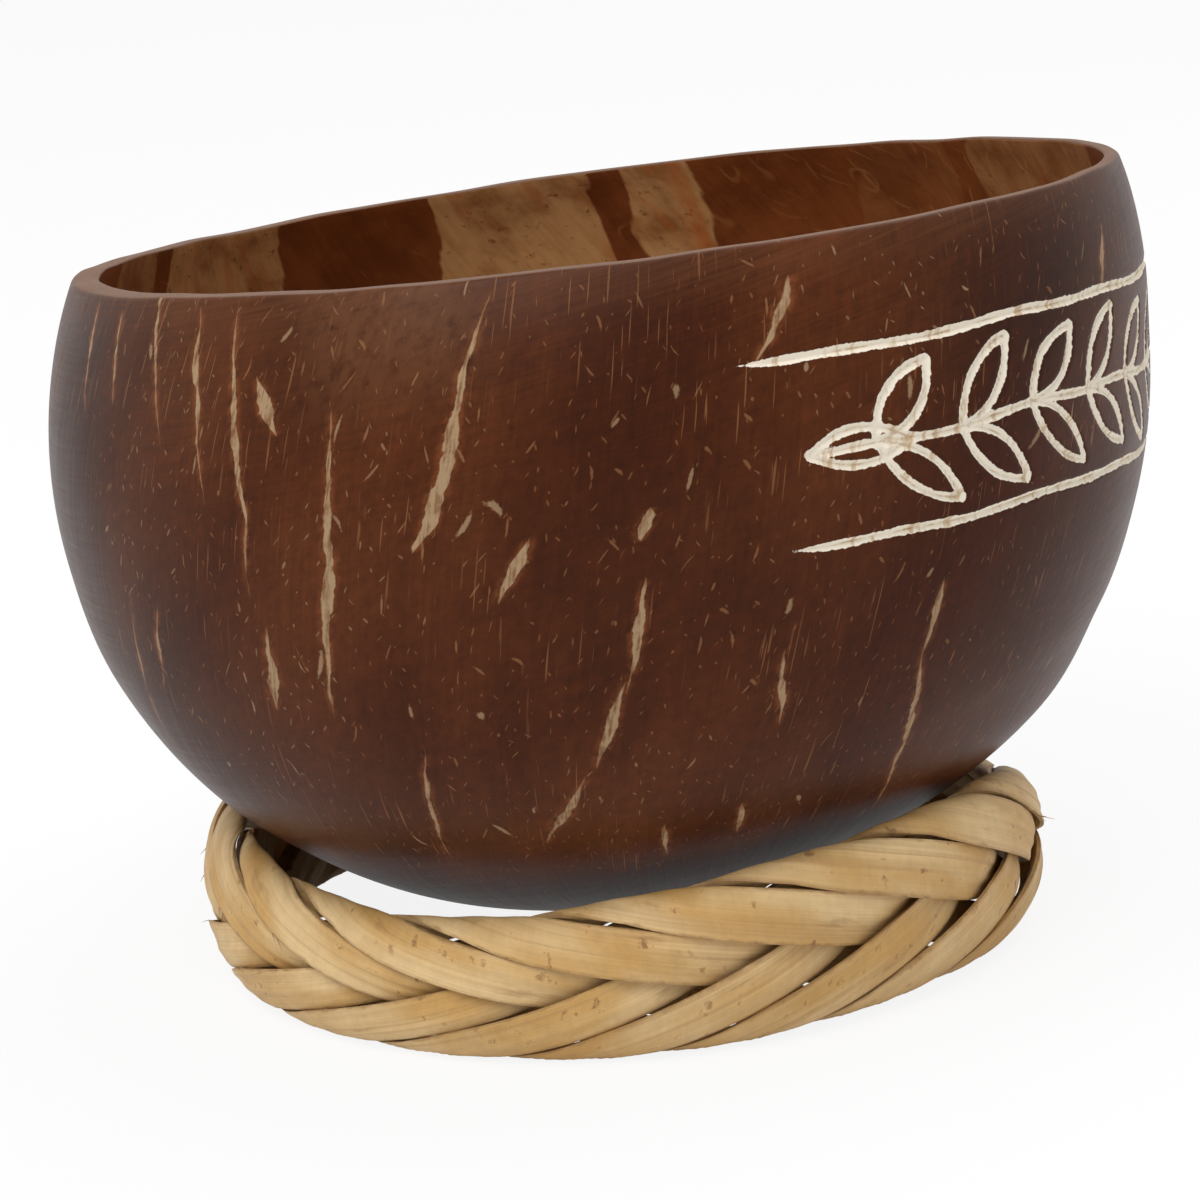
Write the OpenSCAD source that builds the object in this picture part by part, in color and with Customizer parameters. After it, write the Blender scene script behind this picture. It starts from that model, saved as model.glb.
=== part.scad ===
// Coconut-shell cup with a slanted rim, standing loose on a plaited leaf ring.
// Millimetres, +Z up. The floor is z = 0 and the origin lies under the middle of the shell.

/* [Shell] */
// Half width of the shell at its girth
shell_r = 60; // [52:0.5:68]
// How far the centre of the flank's curve lies off the shell's axis
flank_in = 8.8; // [5:0.1:14]
// How far the centre of the bottom's curve lies above the girth: a greater rise makes a flatter bottom
base_rise = 16.5; // [8:0.5:30]
// Wall thickness at the girth
wall_side = 2.0; // [1.5:0.1:3.5]
// Wall thickness at the bottom
wall_base = 3.4; // [2.5:0.1:4.5]
// How far the centre of the hollow's flank lies off the hollow's axis
hollow_in = 10; // [6:0.1:16]
// How far the hollow lies off the shell's axis
hollow_shift = 0.6; // [0:0.1:1.2]
// Height of the rim cut above the girth, on the shell's axis
rim_up = 21.4; // [12:0.2:28]
// Sideways slant of the rim cut against the girth
rim_slant = 10.2; // [0:0.2:14]
// Backward slant of the rim cut
rim_back = 2.4; // [0:0.2:6]

/* [Seat] */
// Sideways lean of the shell as it stands in the ring
cup_lean = 13; // [0:0.5:16]
// Clearance between the shell and the strip that it rests on
seat_gap = 0.3; // [0.2:0.05:0.6]

/* [Ring] */
// Middle radius of the plaited ring, as a share of the shell's half width
ring_share = 0.7333; // [0.65:0.001:0.78]
// Sideways place of the ring under the shell
ring_shift = -1.2; // [-3:0.1:3]
// Half height of the plait, from its middle to the middle of the folded edge
plait_half = 8.2; // [7.4:0.1:9.6]
// How far the middle of the plait stands out past its edges
plait_crown = 1.8; // [0:0.1:3]
// Height that the plait loses at its lowest stretch, as a share
dip_share = 0.17; // [0:0.01:0.2]
// Direction of the lowest stretch
dip_angle = -122; // [-180:1:180]
// Height that the plait gains at its highest stretch, as a share
swell_share = 0.14; // [0:0.01:0.16]
// Direction of the highest stretch
swell_angle = -56; // [-180:1:180]
// How far the top edge leans outward at the highest stretch
ring_flare = 3; // [1.6:0.1:4]

/* [Strips] */
// Strips folded over on each edge in one turn of the ring
folds = 17; // [15:1:20]
// Distance of each layer of strips from the middle of the plait
layer_gap = 1.7; // [1.6:0.05:2.2]
// Share of the free pitch that one strip fills
fill_share = 0.933; // [0.8:0.01:0.95]
// Thickness of a strip along its middle
strip_t = 1.3; // [0.9:0.05:1.5]
// Thickness of a strip at its edges
edge_t = 0.45; // [0.4:0.05:0.7]
// Angle by which the pattern is turned round the ring
plait_angle = 2; // [-12:0.5:12]
// Direction in which the worked-in ends begin
splice_angle = 150; // [0:1:360]

/* [Hidden] */
$fn = 96;
strands = 7;
// Points across a strip
across = 5;
// Pattern step along a strip: the bottom of each fold falls midway between two steps and is pressed flat
step_angle = 12;
half_turn = 180;
// Layer change at the crossings and sharpness of the folded edges
soft_ratio = 0.7;
sharp_ratio = 0.97;
follow_ratio = 0.3;
// How full a strip stays toward its edges, and a small step for slopes
taper_power = 2.5;
nudge_share = 0.02;
// Worked-in tail: length along the pattern, length of its rise and clearance over the next strip
tail_angle = 2 * step_angle;
rise_angle = 22;
tail_gap = 0.3;
// Depth to which the lowest folds are pressed flat on the floor
press = 0.36;
// How sharply the low and the high stretch of the ring begin and end, and the rounds in which the shell's height is found
stretch_power = 6;
sink_count = 12;
// Reach of the bottom arc's sector, in lengths of the line between the two centres
sector_reach = 10;
start_phase = half_turn - 4.5 * step_angle;
fill_half = fill_share * half_turn / strands;
phase_rate = folds / strands;
plait_mid = plait_half + strip_t / 2 - press;
ring_r = ring_share * shell_r;

// Shell profile: a flank arc and a bottom arc that run into each other smoothly
flank_r = shell_r - flank_in;
base_r = flank_r + norm([flank_in, base_rise]);
shell_drop = base_r - base_rise;
hollow_r = shell_r - wall_side;
hollow_flank = hollow_r - hollow_in;
hollow_drop = shell_drop - wall_base;
hollow_sag = hollow_drop - hollow_flank;
hollow_rise = (hollow_in * hollow_in - hollow_sag * hollow_sag) / (2 * hollow_sag);

shell_color = [0.29, 0.165, 0.106];
leaf_color = [0.83, 0.68, 0.42];

// Path of a strip through the section of the plait: height u and layer h at pattern angle p
function path_u(p) = plait_half * asin(sharp_ratio * cos(p)) / asin(sharp_ratio);
function path_h(p) = let (s = sin(2 * p)) layer_gap * s * sqrt(1 + soft_ratio * soft_ratio) / sqrt(s * s + soft_ratio * soft_ratio);
function follow(p) = follow_ratio + (1 - follow_ratio) * pow(cos(p), 2);
function mid(p, s) = [path_u(p + fill_half * s), path_h(p + follow(p) * fill_half * s)];
function unit(v) = v / norm(v);
function thick(s) = edge_t + (strip_t - edge_t) * (1 - pow(abs(s), taper_power));

// One point of a strip's skin in the section: s across the strip, side +1 or -1, lifted inward by rise
function skin(p, s, side, rise) =
    let (d = unit(mid(p, s + nudge_share) - mid(p, s - nudge_share)), m = mid(p, s) + side * thick(s) / 2 * [-d[1], d[0]])
    [m[0], m[1] - rise];

function ease(x) = let (c = min(max(x, 0), 1)) c * c * (3 - 2 * c);

// Height share of the plait at an angle round the ring
function near(a, at) = pow(max(0, cos(a - at)), stretch_power);
function tall(a) = 1 - dip_share * near(a, dip_angle) + swell_share * near(a, swell_angle);

// From the section to the ring
function place(p, q) =
    let (a = splice_angle + plait_angle + (p - start_phase) / phase_rate,
         r = ring_r + q[1] - plait_crown * pow(q[0] / plait_half, 2) + ring_flare * near(a, swell_angle) * max(0, q[0] / plait_half),
         z = max(0, (plait_mid + q[0]) * tall(a)))
    [ring_shift + r * cos(a), r * sin(a), z];

function section(p, rise) = concat(
    [for (i = [0 : across - 1]) place(p, skin(p, 2 * i / (across - 1) - 1, 1, rise))],
    [for (i = [0 : across - 1]) place(p, skin(p, 1 - 2 * i / (across - 1), -1, rise))]);

// The strips follow one another along the pattern, which closes after as many turns as there are strips
function from_phase(k) = start_phase + half_turn * floor(2 * folds * k / strands);
function to_phase(k) = from_phase(k + 1);
function tail_lift(p, k) = (strip_t + tail_gap) * ease((p - to_phase(k) + rise_angle) / rise_angle);
function stations(k) = let (a = from_phase(k), b = to_phase(k) + tail_angle, n = round((b - a) / step_angle)) [for (i = [0 : n]) a + (b - a) * i / n];
function skin_points(k) = [for (p = stations(k)) each section(p, tail_lift(p, k))];

// Height of the shell's girth over the floor: the shell sinks until it clears the ring by seat_gap
function in_shell(p, z) =
    let (v = [p[0], p[1], p[2] - z],
         c = [v[0] * cos(cup_lean) + v[2] * sin(cup_lean), v[1], v[2] * cos(cup_lean) - v[0] * sin(cup_lean)],
         r = norm([c[0], c[1]]))
    r * base_rise > flank_in * (base_rise - c[2]) ? norm([r - flank_in, c[2]]) - flank_r : norm([r, c[2] - base_rise]) - base_r;
function sink(points, z, left) = left < 1 ? z : sink(points, z + seat_gap - min([for (p = points) in_shell(p, z)]), left - 1);
rest_points = [for (k = [0 : strands - 1]) each [for (p = skin_points(k)) if (p[2] > plait_half) p]];
cup_z = sink(rest_points, shell_drop + 2 * plait_half, sink_count);

// Half outline of a bowl-shaped solid: a flank circle, and below it a sector of the bottom circle
module bowl_outline(flank, in, rise) {
    base = flank + norm([in, rise]);
    reach = 2 * base;
    intersection() {
        union() {
            translate([in, 0]) circle(flank);
            intersection() {
                translate([0, rise]) circle(base);
                polygon([[0, rise], [0, rise] + sector_reach * [in, -rise], [0, rise - reach]]);
            }
        }
        translate([0, -reach]) square([reach, 2 * reach]);
    }
}

module coconut_shell() color(shell_color)
    translate([0, 0, cup_z]) rotate([0, -cup_lean, 0]) difference() {
        rotate_extrude() bowl_outline(flank_r, flank_in, base_rise);
        translate([hollow_shift, 0, 0]) rotate_extrude() bowl_outline(hollow_flank, hollow_in, hollow_rise);
        translate([0, 0, rim_up]) rotate([0, rim_slant, 0]) rotate([-rim_back, 0, 0]) cylinder(r = 2 * shell_r, h = 2 * shell_r);
    }

module strand(k) color(leaf_color) {
    points = skin_points(k);
    ring = 2 * across;
    count = len(points) / ring;
    polyhedron(points = points, faces = concat(
        [for (j = [0 : count - 2], i = [0 : ring - 1]) each let (n = (i + 1) % ring, a = j * ring + i, b = j * ring + n)
            i < across ? [[a, b, a + ring], [b, b + ring, a + ring]] : [[a, b, b + ring], [a, b + ring, a + ring]]],
        [for (i = [0 : across - 2]) each let (o = ring - 1 - i) [[i, o, i + 1], [i + 1, o, o - 1]]],
        [for (i = [0 : across - 2]) each let (e = (count - 1) * ring, o = ring - 1 - i) [[e + i, e + i + 1, e + o], [e + i + 1, e + o - 1, e + o]]]));
}

module strand_1() strand(0);
module strand_2() strand(1);
module strand_3() strand(2);
module strand_4() strand(3);
module strand_5() strand(4);
module strand_6() strand(5);
module strand_7() strand(6);

coconut_shell();
strand_1();
strand_2();
strand_3();
strand_4();
strand_5();
strand_6();
strand_7();
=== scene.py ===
# %% [markdown]
# # A carved coconut cup on a plaited ring
#
# The cup is half of a coconut shell, sawn off at a slant, sanded to a satin finish and carved with a pale
# band. It stands loose in a ring plaited from seven strips of dried leaf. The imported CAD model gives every
# size and place. This lesson keeps it as a fixed frame and models finer pieces that stand for its solids.

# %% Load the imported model
import math
import random

import bpy
import numpy as np
from mathutils import Matrix, Vector, noise


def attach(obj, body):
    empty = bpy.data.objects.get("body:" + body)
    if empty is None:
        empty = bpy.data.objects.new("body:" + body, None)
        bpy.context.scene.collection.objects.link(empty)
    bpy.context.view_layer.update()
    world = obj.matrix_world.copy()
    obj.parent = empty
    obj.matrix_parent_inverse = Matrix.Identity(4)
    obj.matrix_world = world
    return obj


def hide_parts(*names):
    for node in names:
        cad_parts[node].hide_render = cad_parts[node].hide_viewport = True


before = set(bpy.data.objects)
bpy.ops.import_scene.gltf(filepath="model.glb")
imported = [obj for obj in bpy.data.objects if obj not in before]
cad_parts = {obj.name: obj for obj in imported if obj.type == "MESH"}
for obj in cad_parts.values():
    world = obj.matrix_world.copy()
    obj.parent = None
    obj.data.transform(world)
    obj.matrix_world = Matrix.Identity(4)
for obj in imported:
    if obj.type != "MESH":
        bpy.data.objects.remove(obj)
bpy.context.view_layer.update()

MM = 0.001
scene = bpy.context.scene
scene.view_settings.view_transform = "Standard"
print("nodes in the frame:", ", ".join(sorted(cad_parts)))

# %% [markdown]
# ## Camera
#
# The photograph was taken with a long lens, a little from above and with a slight roll. The camera repeats
# that: its distance, height and roll were fitted to the outlines of the shell and of the ring.

# %% Camera at the photograph's angle
PHOTO_SIDE = 1200
FOCAL_PIXELS = 3669
SENSOR_WIDTH = 36.0
CAMERA_AT = Vector((-1.617, -393.65, 133.018)) * MM
LOOK_DOWN = 13.7
CAMERA_ROLL = 4.3
NEAREST_SEEN = 0.01

camera_turn = (Matrix.Rotation(math.radians(90 - LOOK_DOWN), 3, "X")
               @ Matrix.Rotation(math.radians(-CAMERA_ROLL), 3, "Z"))
bpy.ops.object.camera_add(location=CAMERA_AT, rotation=camera_turn.to_euler())
camera = bpy.context.object
camera.data.sensor_width = SENSOR_WIDTH
camera.data.lens = FOCAL_PIXELS / PHOTO_SIDE * SENSOR_WIDTH
camera.data.clip_start = NEAREST_SEEN
scene.camera = camera
print("lens of", round(camera.data.lens, 1), "mm")

# %% [markdown]
# ## Nodes that read like sums
#
# The finishes below are worked out from formulas. A small class lets a shader value be added and multiplied
# like a number, so each formula stays legible, and each line adds the same Math nodes as a hand would.

# %% A shader value that adds and multiplies
class Wire:
    """A shader value that adds and multiplies like a number."""

    def __init__(self, tree, socket):
        self.tree, self.socket = tree, socket

    def op(self, operation, *others):
        made = self.tree.nodes.new("ShaderNodeMath")
        made.operation = operation
        for plug, value in zip(made.inputs, (self, *others)):
            feed(self.tree, plug, value)
        return Wire(self.tree, made.outputs[0])

    def __add__(self, other):
        return self.op("ADD", other)

    def __sub__(self, other):
        return self.op("SUBTRACT", other)

    def __mul__(self, other):
        return self.op("MULTIPLY", other)

    def __truediv__(self, other):
        return self.op("DIVIDE", other)

    def ramp(self, low, high, start=0.0, end=1.0):
        """A smooth step from start at low to end at high."""
        made = self.tree.nodes.new("ShaderNodeMapRange")
        made.interpolation_type = "SMOOTHSTEP"
        for plug, value in zip(made.inputs, (self, low, high, start, end)):
            feed(self.tree, plug, value)
        return Wire(self.tree, made.outputs[0])


def feed(tree, plug, value):
    """Links a value from a node to an input, or sets a plain number or colour there."""
    if isinstance(value, Wire):
        tree.links.new(value.socket, plug)
    elif value is not None:
        plug.default_value = value


def add_node(tree, kind, settings=(), **inputs):
    """Adds a node with its settings, and feeds the named inputs."""
    made = tree.nodes.new("ShaderNode" + kind)
    for name, value in dict(settings).items():
        setattr(made, name, value)
    for name, value in inputs.items():
        feed(tree, made.inputs[name.replace("_", " ")], value)
    return made


def out(made, name=0):
    """The value that a node puts out."""
    return Wire(made.id_data, made.outputs[name])


print("ready:", Wire.__name__, feed.__name__, add_node.__name__, out.__name__)

# %% Helpers for patterns and colours
def stretched(tree, vector, by):
    """A place multiplied axis by axis."""
    made = add_node(tree, "VectorMath", {"operation": "MULTIPLY"})
    feed(tree, made.inputs[0], vector)
    made.inputs[1].default_value = by
    return out(made)


def noise_at(tree, vector, scale, detail=2.0, roughness=0.5, stretch=None):
    """Soft noise from 0 to 1. A small share in stretch draws it out along that axis."""
    if stretch:
        vector = stretched(tree, vector, stretch)
    return out(add_node(tree, "TexNoise", Vector=vector, Scale=scale, Detail=detail, Roughness=roughness))


def vector_of(tree, x, y, z):
    """Three values as one place."""
    return out(add_node(tree, "CombineXYZ", X=x, Y=y, Z=z))


def colour_mix(tree, share, first, second, mode="MIX"):
    """The first colour, and as much of the second as share says."""
    made = add_node(tree, "Mix", {"data_type": "RGBA", "blend_type": mode})
    feed(tree, made.inputs[0], share)
    feed(tree, made.inputs[6], first)
    feed(tree, made.inputs[7], second)
    return Wire(tree, made.outputs[2])


def toned(tree, colour, tone):
    """A colour made darker or lighter all over by a value."""
    return colour_mix(tree, 1.0, colour, vector_of(tree, tone, tone, tone), "MULTIPLY")


def strongest(masks):
    """The highest of several masks at each point."""
    most = masks[0]
    for mask in masks[1:]:
        most = most.op("MAXIMUM", mask)
    return most


def shade(red, green, blue):
    """A colour as the eye names it (0 to 255), in the linear form that shaders use."""
    linear = [(c / 255 / 12.92) if c < 10 else ((c / 255 + 0.055) / 1.055) ** 2.4 for c in (red, green, blue)]
    return (*linear, 1.0)


print("middle grey in linear light:", round(shade(128, 128, 128)[0], 3))

# %% Helpers for node groups and materials
def new_group(name, inputs, outputs):
    """An empty shader node group with float or vector inputs and outputs."""
    tree = bpy.data.node_groups.new(name, "ShaderNodeTree")
    for label, kind in inputs.items():
        tree.interface.new_socket(label, in_out="INPUT", socket_type="NodeSocket" + kind)
    for label, kind in outputs.items():
        tree.interface.new_socket(label, in_out="OUTPUT", socket_type="NodeSocket" + kind)
    ends = tree.nodes.new("NodeGroupInput"), tree.nodes.new("NodeGroupOutput")
    given = {label: Wire(tree, ends[0].outputs[label]) for label in inputs}
    return tree, given, ends[1]


def use_group(tree, group, **inputs):
    """Places a node group in a material, with values of its own."""
    made = tree.nodes.new("ShaderNodeGroup")
    made.node_tree = group
    for name, value in inputs.items():
        feed(tree, made.inputs[name], value)
    return made


def new_material(name):
    """A material, its node tree and its shader."""
    made = bpy.data.materials.new(name)
    made.use_nodes = True
    return made, made.node_tree, made.node_tree.nodes["Principled BSDF"]


def count_nodes(name, tree):
    """Prints how many nodes a group or material has so far."""
    print(name, "has", len(tree.nodes), "nodes")


print("materials so far:", len(bpy.data.materials))

# %% [markdown]
# ## Studio
#
# The object stands in a white light tent: a pale floor, soft light from all round and two large soft lamps.
# The floor and the world look white to the camera and in reflections, and light the object at a plain level.

# %% Floor
FLOOR_SIZE = 8.0
FLOOR_DROP = 0.1 * MM
FLOOR_GREY, FLOOR_ROUGH = 0.84, 0.9
FLOOR_GLOW, FLOOR_IN_GLOSS = 0.88, 0.5


def seen_directly(tree, in_gloss=1.0):
    """1 for rays from the camera and through glass, and in_gloss for rays that a gloss sends on."""
    light_path = tree.nodes.new("ShaderNodeLightPath")
    seen = Wire(tree, light_path.outputs["Is Camera Ray"])
    seen = seen.op("MAXIMUM", Wire(tree, light_path.outputs["Is Transmission Ray"]))
    return seen.op("MAXIMUM", Wire(tree, light_path.outputs["Is Glossy Ray"]) * in_gloss)


bpy.ops.object.select_all(action="DESELECT")
bpy.ops.mesh.primitive_plane_add(size=FLOOR_SIZE, location=(0, 0, -FLOOR_DROP))
floor = bpy.context.object
floor.name = "studio_floor"

floor_finish, tree, shader = new_material("pale_floor")
shader.inputs["Base Color"].default_value = (FLOOR_GREY, FLOOR_GREY, FLOOR_GREY, 1)
shader.inputs["Roughness"].default_value = FLOOR_ROUGH
glow = add_node(tree, "Emission", Color=(1, 1, 1, 1), Strength=1.0)
both = tree.nodes.new("ShaderNodeMixShader")
feed(tree, both.inputs[0], seen_directly(tree, FLOOR_IN_GLOSS) * FLOOR_GLOW)
tree.links.new(shader.outputs[0], both.inputs[1])
tree.links.new(glow.outputs[0], both.inputs[2])
tree.links.new(both.outputs[0], tree.nodes["Material Output"].inputs["Surface"])
floor.data.materials.append(floor_finish)
print("floor of", FLOOR_SIZE, "m")

# %% World and lamps
WORLD_LIGHT = 0.55
LAMPS_AIM = (0, 0, 0.06)

world = scene.world or bpy.data.worlds.new("light_tent")
scene.world = world
world.use_nodes = True
tree = world.node_tree
sky = tree.nodes["Background"]
sky.inputs["Color"].default_value = (1, 1, 1, 1)
feed(tree, sky.inputs["Strength"], seen_directly(tree) * (1 - WORLD_LIGHT) + WORLD_LIGHT)


def softbox(name, at, size, watts):
    """A square lamp that faces the object."""
    bpy.ops.object.light_add(type="AREA", location=at)
    lamp = bpy.context.object
    lamp.name = name
    lamp.data.size = size
    lamp.data.energy = watts
    lamp.rotation_euler = (Vector(LAMPS_AIM) - Vector(at)).to_track_quat("-Z", "Y").to_euler()


softbox("key_softbox", at=(-0.35, -0.6, 1.0), size=0.8, watts=8.5)
softbox("top_softbox", at=(0.3, 0.25, 1.1), size=0.9, watts=5.0)

# %% [markdown]
# ## The shell's form
#
# A coconut shell is nearly a body of revolution. Its outline is a flank arc that runs into a flatter bottom
# arc, and the hollow has an outline of its own, set a little aside. The sizes repeat those of the CAD model.
# The real nut isn't quite round: it is fuller at the upper right, at the lower right and along the left flank,
# and flatter at the right of its girth. Bulges of a few hundredths of the reach give it that.

# %% Sizes of the shell
SHELL_R = 60.0
FLANK_IN, BASE_RISE = 8.8, 16.5
WALL_SIDE = 2.0
HOLLOW_IN, HOLLOW_RISE, HOLLOW_SHIFT = 10.0, 24.0, 0.6
RIM_UP, RIM_SLANT, RIM_BACK = 21.4, 10.2, 2.4
CUP_LEAN, CUP_Z = 13.0, 58.919
OUTER = (SHELL_R - FLANK_IN, FLANK_IN, BASE_RISE)
INNER = (SHELL_R - WALL_SIDE - HOLLOW_IN, HOLLOW_IN, HOLLOW_RISE)

rim_tilt = Matrix.Rotation(math.radians(RIM_SLANT), 3, "Y") @ Matrix.Rotation(math.radians(-RIM_BACK), 3, "X")
RIM_NORMAL = np.array(rim_tilt @ Vector((0, 0, 1)))
CUP_TURN = np.array(Matrix.Rotation(math.radians(-CUP_LEAN), 3, "Y"))
print("the shell leans", CUP_LEAN, "degrees, and its rim is cut", RIM_SLANT, "degrees askew")

# %% Outline of the shell
# Where the nut isn't round: each bulge is a share of the reach, over a stretch of heights on its side.
FULLER_TURN, BULGE_BLEND = 88.0, 12.0
RIM_FULLER, RIM_FROM, RIM_TO = 0.0355, 82.0, 103.0
RIGHT_FULLER, RIGHT_FROM, RIGHT_TO, RIGHT_RISE = 0.021, 8.0, 54.5, 26.0
RIGHT_FLATTER, FLAT_FROM, FLAT_TO = 0.0064, 54.0, 90.0
LEFT_FULLER, LEFT_FROM, LEFT_TO = 0.0073, 52.0, 92.0


def smooth(x):
    """A smooth step from 0 to 1."""
    x = np.clip(x, 0, 1)
    return x * x * (3 - 2 * x)


def bulge(up, start, end, rise=BULGE_BLEND):
    """1 between two heights, with a soft rise and fall."""
    return smooth((up - start) / rise) * smooth((end - up) / BULGE_BLEND)


def reach(turn, up, flank, inward, rise):
    """Distance from the middle of the girth to the outline, in a direction up degrees from the bottom pole."""
    between = math.hypot(inward, rise)
    base = flank + between
    joint = math.atan2(base * inward / between, base * rise / between - rise)
    a = np.radians(up)
    on_flank = inward * np.sin(a) + np.sqrt(np.maximum(flank**2 - (inward * np.cos(a)) ** 2, 0))
    on_base = np.sqrt(base**2 - (rise * np.sin(a)) ** 2) - rise * np.cos(a)
    side = np.cos(np.radians(turn - FULLER_TURN))
    right, left = np.maximum(side, 0) ** 2, np.minimum(side, 0) ** 2
    fuller = RIM_FULLER * smooth((up - RIM_FROM) / (RIM_TO - RIM_FROM))
    fuller += RIGHT_FULLER * bulge(up, RIGHT_FROM, RIGHT_TO, RIGHT_RISE)
    fuller = right * (fuller - RIGHT_FLATTER * bulge(up, FLAT_FROM, FLAT_TO))
    fuller += left * LEFT_FULLER * bulge(up, LEFT_FROM, LEFT_TO)
    return np.where(a < joint, on_base, on_flank) * (1 + fuller)


print("reach in front, at the girth:", reach(0.0, 90.0, *OUTER).round(1), "mm")

# %% Points on the outline, and where the rim cuts it
LOWEST_RIM, HIGHEST_RIM, HALVINGS = 60.0, 150.0, 40


def on_outline(turn, up, outline, shift):
    """Points in the shell's own axes, in millimetres: turn counts from the front to the right."""
    r, t, a = reach(turn, up, *outline), np.radians(turn), np.radians(up)
    return np.stack([r * np.sin(a) * np.sin(t) + shift, -r * np.sin(a) * np.cos(t), -r * np.cos(a)], -1)


def rim_angle(turn, outline, shift):
    """How far up the outline meets the rim's plane, found by halving."""
    low, high = np.full_like(turn, LOWEST_RIM), np.full_like(turn, HIGHEST_RIM)
    for _ in range(HALVINGS):
        middle = (low + high) / 2
        over = (on_outline(turn, middle, outline, shift) - (0, 0, RIM_UP)) @ RIM_NORMAL > 0
        low, high = np.where(over, low, middle), np.where(over, middle, high)
    return low


right_rim, left_rim = rim_angle(np.array([90.0, -90.0]), OUTER, 0).round(1)
print("the rim lies", right_rim, "degrees up at the right and", left_rim, "at the left")

# %% [markdown]
# ## The carved band
#
# A palm frond runs round the right side of the cup, between two cut lines that follow the rim. It is laid
# out flat first: every cut is a line or a lens, and the distance to the nearest one gives the groove. That
# distance is kept on the mesh as well, so that the finish knows exactly where the pale groove is.

# %% Layout of the frond
BAND_FROM, BAND_LENGTH = 15.0, 132.0
BAND_MIDDLE, BAND_HALF = 20.0, 9.0
BAND_R = 58.0
FROND_FROM, FROND_TO = 5.0, 126.0
LEAFLET_STEP, LEAFLET_LENGTH, LEAFLET_WIDE = 9.6, 10.4, 1.75
LEAFLET_LEAN, LEAN_VARIES, LEAN_STEP = 42.0, 2.5, 2.1
FIRST_PAIR, END_LEAFLET = 0.55, 0.9
LEAFLET_PAIRS = int((FROND_TO - FROND_FROM - LEAFLET_LENGTH) / LEAFLET_STEP) + 1


def to_segment(x, y, x0, x1, level):
    """Distance to a level line from x0 to x1."""
    return np.hypot(x - np.clip(x, x0, x1), y - level)


def to_leaflet(x, y, base_x, lean):
    """Distance to the outline of a pointed leaflet that grows out of the rib."""
    c, s = math.cos(math.radians(lean)), math.sin(math.radians(lean))
    along, off = (x - base_x) * c + y * s, -(x - base_x) * s + y * c
    share = np.clip(along / LEAFLET_LENGTH, 0, 1)
    edge = LEAFLET_WIDE * 4 * share * (1 - share)
    slope = LEAFLET_WIDE * 4 * (1 - 2 * share) / LEAFLET_LENGTH
    beyond = along - share * LEAFLET_LENGTH
    return np.hypot((np.abs(off) - edge) / np.sqrt(1 + slope**2), beyond)


print("frond of", LEAFLET_PAIRS, "pairs of leaflets")

# %% Depth inside the nearest cut
CUT_WIDTH, CUT_DEPTH = 1.15, 0.5
# A hand cuts no ruled line: the course sways in a slow and a quick wave, and the width varies along the cut.
SLOW_SWAY, SLOW_LENGTH, QUICK_SWAY, QUICK_LENGTH = 0.35, 7.3, 0.2, 2.9
BORDER_SWAY = 0.6
CUT_SHARE, CUT_VARIES = 0.85, 0.13
END_MARGIN, END_TAPER = 1.0, 5.0
FAR_OFF = 9.0


def carving(turn, below):
    """How far inside a cut a point lies, in millimetres: below 0 it is on the uncut skin."""
    x = np.radians(turn - BAND_FROM) * BAND_R
    y = BAND_MIDDLE - below
    sway = SLOW_SWAY * np.sin(x / SLOW_LENGTH) + QUICK_SWAY * np.sin(x / QUICK_LENGTH + 1)
    cuts = [to_segment(x, y + sway * BORDER_SWAY, 0, BAND_LENGTH, side * BAND_HALF) for side in (1, -1)]
    cuts.append(to_segment(x, y + sway, FROND_FROM, FROND_TO, 0))
    for i in range(LEAFLET_PAIRS):
        for side in (1, -1):
            lean = side * (LEAFLET_LEAN + LEAN_VARIES * math.sin(LEAN_STEP * i + side))
            base_x = FROND_FROM + LEAFLET_LENGTH * FIRST_PAIR + i * LEAFLET_STEP
            cuts.append(to_leaflet(x, y + sway, base_x, lean))
    cuts.append(to_leaflet(x, y + sway, FROND_FROM + LEAFLET_LENGTH * END_LEAFLET, 180))
    taper = smooth((x + END_MARGIN) / END_TAPER) * smooth((BAND_LENGTH + END_MARGIN - x) / END_TAPER)
    varied = CUT_SHARE + CUT_VARIES * np.sin(x * 0.83 + y * 0.6) * np.sin(x * 0.31 - y * 0.9)
    half = CUT_WIDTH / 2 * varied * taper
    return np.maximum(half - np.min(cuts, axis=0), -FAR_OFF)


print("cuts of", round(CUT_WIDTH * CUT_SHARE, 2), "mm, give or take", round(CUT_WIDTH * CUT_VARIES, 2))
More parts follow.
